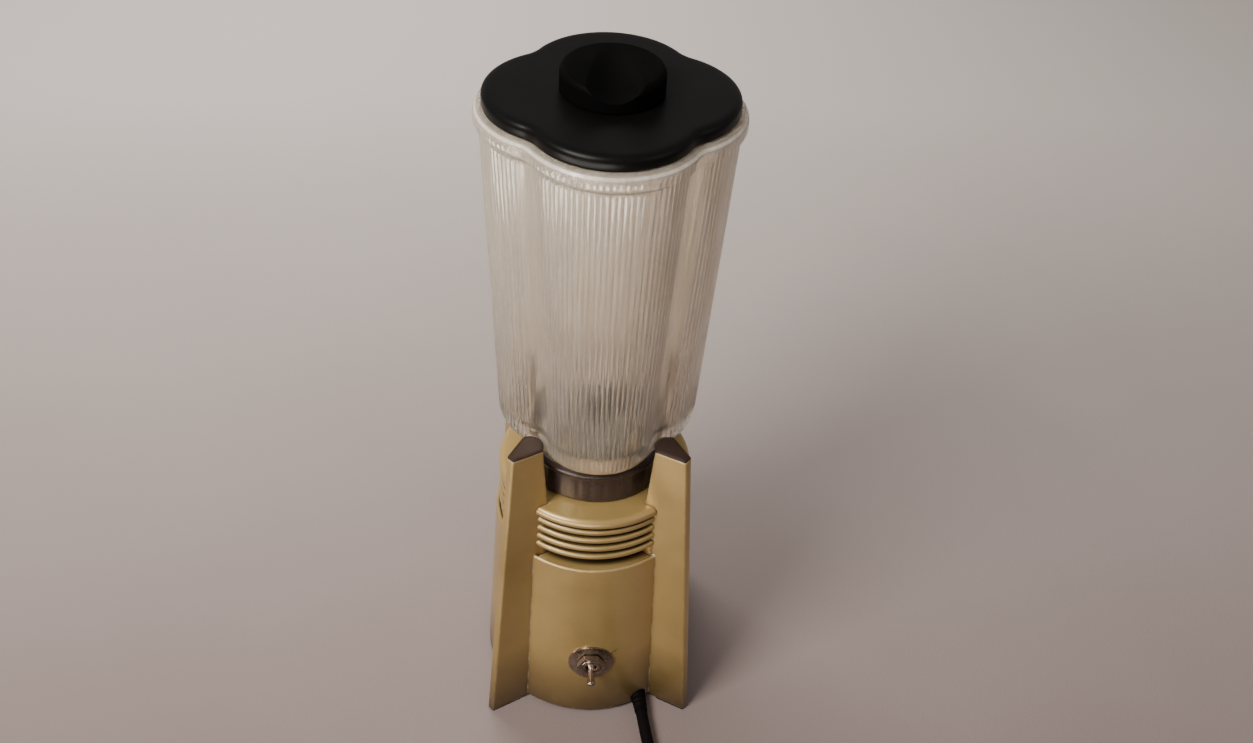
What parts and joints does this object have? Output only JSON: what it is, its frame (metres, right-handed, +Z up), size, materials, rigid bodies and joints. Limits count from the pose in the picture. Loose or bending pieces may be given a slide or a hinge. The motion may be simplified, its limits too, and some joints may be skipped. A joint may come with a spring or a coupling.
{
  "type": "countertop blender",
  "caption": "Countertop blender: gold four-finned motor base with toggle switch, ribbed vent neck, lobed glass jar on a screw collar, dark lid with a lift-out filler cap, mains lead.",
  "frame": {"origin": "on the motor axis at the level of the feet's undersides", "axes": "+Z up along the motor axis, -Y towards the front where the toggle switch is, +X to the right seen from the front"},
  "size_m": [0.1552, 0.2612, 0.3957],
  "materials": {
    "gold_paint": "metallic gold-tan enamel on die-cast metal, soft gloss, lightly scuffed",
    "plated_steel": "zinc-plated steel",
    "cast_aluminium": "plain die-cast aluminium, matt",
    "bearing_bronze": "bronze and brass, bare",
    "lamination": "stacked silicon-steel sheet, oiled",
    "copper_winding": "enamelled copper wire and copper bars",
    "dark_plastic": "moulded phenolic, matt",
    "black_rubber": "black rubber",
    "cushion_rubber": "dark brown rubber with a soft sheen",
    "carbon": "pressed carbon",
    "chrome_metal": "nickel-plated brass, slightly dulled",
    "clear_glass": "pressed clear glass with fine vertical ribs, warm tint",
    "brown_plastic": "moulded dark brown plastic",
    "stainless": "ground stainless steel",
    "lid_plastic": "moulded black-brown plastic, semi-gloss",
    "cord_rubber": "black rubber-jacketed flex"
  },
  "bodies": {
    "base": {"base_housing": "gold_paint", "bottom_plate": "plated_steel", "plate_screws": "plated_steel", "rubber_foot_1": "black_rubber", "rubber_foot_2": "black_rubber", "rubber_foot_3": "black_rubber", "rubber_foot_4": "black_rubber", "jar_cushion_1": "cushion_rubber", "jar_cushion_2": "cushion_rubber", "jar_cushion_3": "cushion_rubber", "jar_cushion_4": "cushion_rubber", "vent_housing": "gold_paint", "vent_screws": "plated_steel", "motor_bracket_upper": "cast_aluminium", "upper_bearing": "bearing_bronze", "motor_bracket_lower": "cast_aluminium", "lower_bearing": "bearing_bronze", "motor_bolts": "plated_steel", "stator_core": "lamination", "field_coil_front": "copper_winding", "field_coil_rear": "copper_winding", "brush_left": "carbon", "brush_right": "carbon", "brush_spring_left": "bearing_bronze", "brush_spring_right": "bearing_bronze", "brush_holder_left": "dark_plastic", "brush_holder_right": "dark_plastic", "switch_body": "dark_plastic", "switch_bushing": "chrome_metal", "switch_washer": "chrome_metal", "switch_nut": "chrome_metal", "cord_gland": "cord_rubber", "cord_lead": "cord_rubber", "cord_tail": "cord_rubber", "cord_coil": "cord_rubber", "cord_tie": "dark_plastic", "plug_body": "cord_rubber", "plug_blades": "bearing_bronze"},
    "rotor": {"rotor_shaft": "plated_steel", "armature_core": "lamination", "armature_winding": "copper_winding", "commutator": "copper_winding", "cooling_fan": "dark_plastic", "drive_coupling": "black_rubber"},
    "lever": {"switch_lever": "chrome_metal"},
    "jar": {"glass_jar": "clear_glass", "jar_collar": "brown_plastic", "blade_carrier": "stainless", "jar_gasket": "black_rubber", "blade_bush": "stainless"},
    "blades": {"blade_shaft": "stainless", "driven_coupling": "black_rubber", "blade_lower": "stainless", "blade_upper": "stainless", "blade_nut": "stainless"},
    "lid": {"lid": "lid_plastic"},
    "cap": {"filler_cap": "lid_plastic"}
  },
  "joints": [
    {"name": "rotor_spin", "type": "hinge", "parent": "base", "child": "rotor", "pos_m": [0, 0, 0.08], "axis": [0, 0, 1], "continuous": true},
    {"name": "lever_tilt", "type": "hinge", "parent": "base", "child": "lever", "pos_m": [0, -0.06075, 0.0465], "axis": [-1, 0, 0], "range_deg": [0, 34]},
    {"name": "jar_lift", "type": "slide", "parent": "base", "child": "jar", "axis": [0, 0, 1], "range_m": [0, 0.07]},
    {"name": "blade_spin", "type": "hinge", "parent": "jar", "child": "blades", "pos_m": [0, 0, 0.165], "axis": [0, 0, 1], "continuous": true},
    {"name": "lid_lift", "type": "slide", "parent": "jar", "child": "lid", "axis": [0, 0, 1], "range_m": [0, 0.04]},
    {"name": "cap_lift", "type": "slide", "parent": "lid", "child": "cap", "axis": [0, 0, 1], "range_m": [0, 0.03]}
  ],
  "couplings": [
    {"joint": "blade_spin", "follows": "rotor_spin", "ratio": 1}
  ]
}
